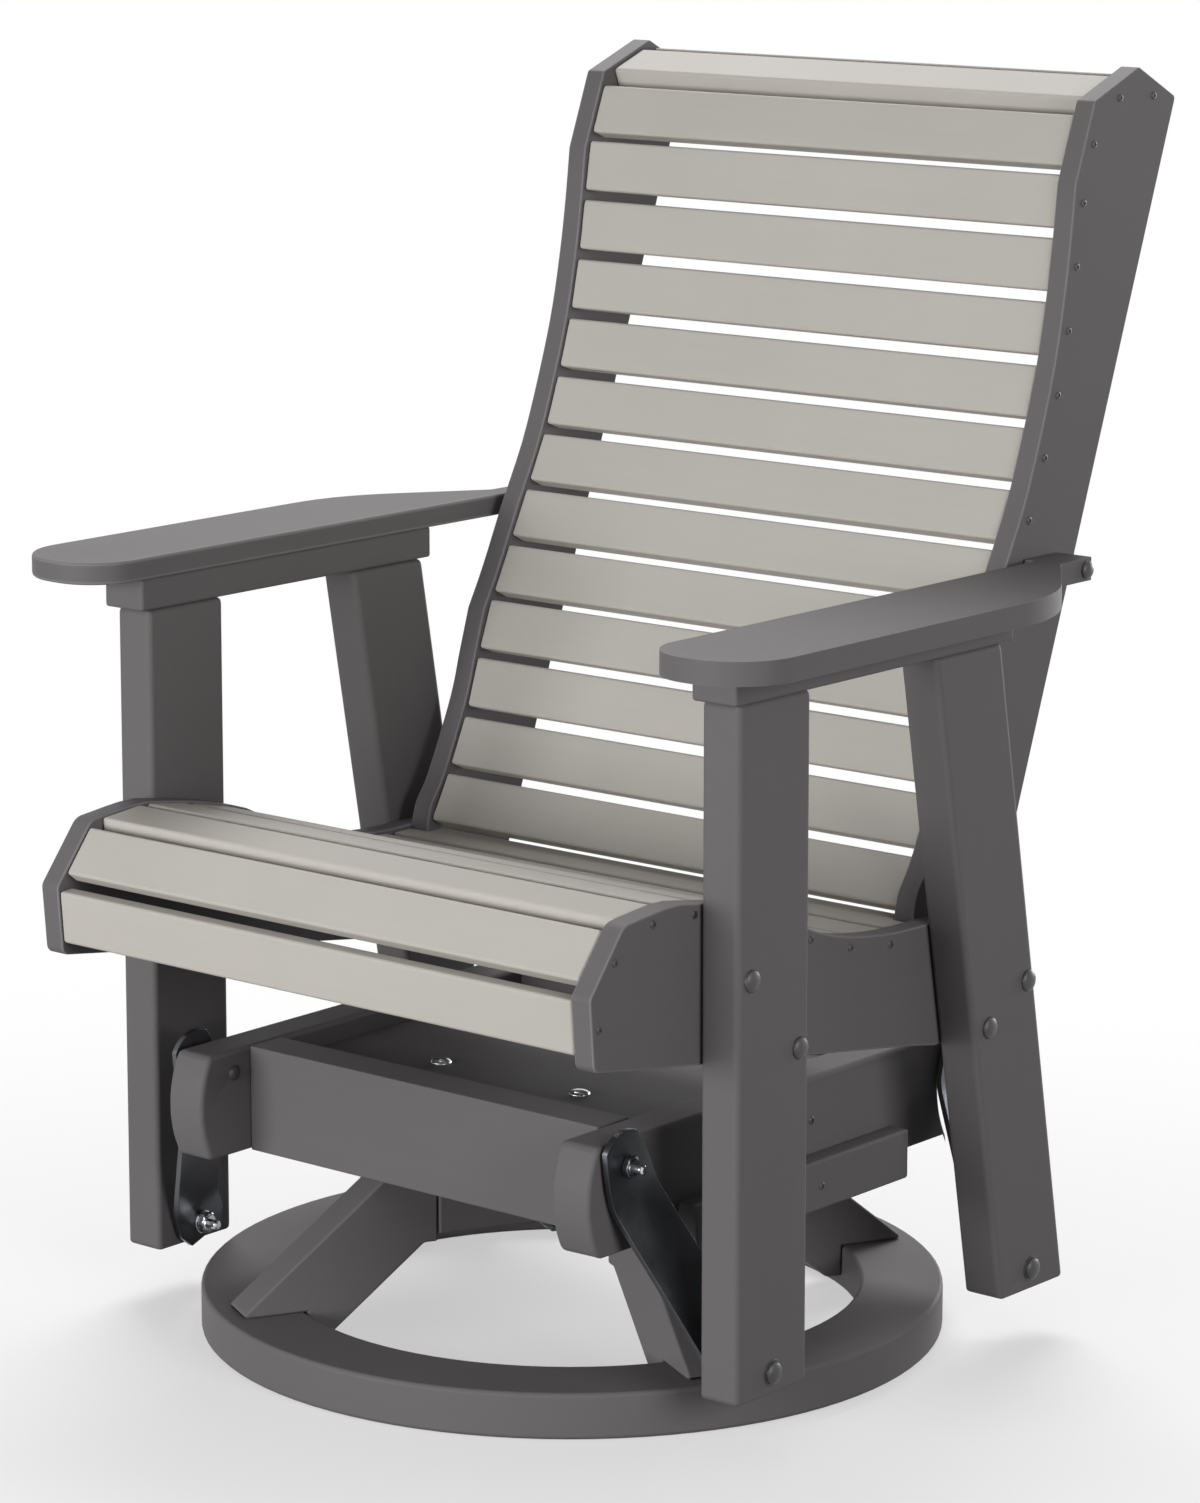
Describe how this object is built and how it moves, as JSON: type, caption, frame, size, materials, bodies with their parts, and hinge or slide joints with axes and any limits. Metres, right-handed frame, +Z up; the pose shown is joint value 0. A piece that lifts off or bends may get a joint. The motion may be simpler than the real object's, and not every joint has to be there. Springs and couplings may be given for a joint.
{
  "type": "outdoor swivel glider armchair",
  "caption": "Slatted outdoor armchair of plastic lumber that glides on swing arms and swivels on a round base ring.",
  "frame": {"origin": "centre of the overall box at floor level", "axes": "+Z up, the seat faces -Y, +X to the right of someone looking along +Y at the chair's front"},
  "size_m": [0.784, 0.7846, 1.0342],
  "materials": {
    "dark_lumber": "satin plastic lumber, dark warm grey, fine grain",
    "pale_lumber": "satin plastic lumber, light warm grey, fine grain",
    "black_steel": "black powder coat on pressed steel",
    "zinc_steel": "zinc plated pressed steel"
  },
  "bodies": {
    "base": {"base_ring": "dark_lumber", "base_leg_1": "dark_lumber", "base_leg_2": "dark_lumber", "base_leg_3": "dark_lumber", "base_leg_4": "dark_lumber", "hub_board_long": "dark_lumber", "hub_board_cross": "dark_lumber", "hub_bottom_plate": "black_steel", "swivel_lower_plate": "zinc_steel", "swivel_ball_race": "zinc_steel"},
    "carriage": {"carriage_rail_right": "dark_lumber", "carriage_rail_left": "dark_lumber", "carriage_skirt_right": "dark_lumber", "carriage_skirt_left": "dark_lumber", "carriage_front_board": "dark_lumber", "carriage_rear_board": "dark_lumber", "swivel_board": "dark_lumber", "swivel_upper_plate": "zinc_steel"},
    "front_arms": {"swing_arm_front_right": "black_steel", "swing_arm_front_left": "black_steel"},
    "rear_arms": {"swing_arm_rear_right": "black_steel", "swing_arm_rear_left": "black_steel"},
    "chair": {"seat_rail_right": "dark_lumber", "back_stile_right": "dark_lumber", "front_post_right": "dark_lumber", "rear_post_right": "dark_lumber", "arm_cleat_right": "dark_lumber", "armrest_right": "dark_lumber", "seat_rail_left": "dark_lumber", "back_stile_left": "dark_lumber", "front_post_left": "dark_lumber", "rear_post_left": "dark_lumber", "arm_cleat_left": "dark_lumber", "armrest_left": "dark_lumber", "seat_slat_front": "pale_lumber", "seat_slat_bevel": "pale_lumber", "seat_slat_1": "pale_lumber", "seat_slat_2": "pale_lumber", "seat_slat_3": "pale_lumber", "seat_slat_4": "pale_lumber", "seat_slat_5": "pale_lumber", "seat_slat_6": "pale_lumber", "seat_slat_7": "pale_lumber", "seat_slat_8": "pale_lumber", "back_slat_1": "pale_lumber", "back_slat_2": "pale_lumber", "back_slat_3": "pale_lumber", "back_slat_4": "pale_lumber", "back_slat_5": "pale_lumber", "back_slat_6": "pale_lumber", "back_slat_7": "pale_lumber", "back_slat_8": "pale_lumber", "back_slat_9": "pale_lumber", "back_slat_10": "pale_lumber", "back_slat_11": "pale_lumber", "back_slat_12": "pale_lumber", "back_slat_13": "pale_lumber", "cap_slat_front": "pale_lumber", "cap_slat_rear": "pale_lumber"}
  },
  "joints": [
    {"name": "swivel", "type": "hinge", "parent": "base", "child": "carriage", "pos_m": [0, -0.06932, 0.166], "axis": [0, 0, 1], "continuous": true},
    {"name": "glide", "type": "hinge", "parent": "carriage", "child": "front_arms", "pos_m": [0, -0.27797, 0.2215], "axis": [1, 0, 0], "range_deg": [-14, 14]},
    {"name": "chair_pivot", "type": "hinge", "parent": "front_arms", "child": "chair", "pos_m": [0, -0.21957, 0.0615], "axis": [1, 0, 0], "range_deg": [-18, 18]},
    {"name": "rear_arm_swing", "type": "hinge", "parent": "carriage", "child": "rear_arms", "pos_m": [0, 0.16048, 0.2215], "axis": [1, 0, 0], "range_deg": [-14.2, 14.2]}
  ],
  "couplings": [
    {"joint": "chair_pivot", "follows": "glide", "ratio": -1.2685},
    {"joint": "rear_arm_swing", "follows": "glide", "ratio": 1}
  ]
}
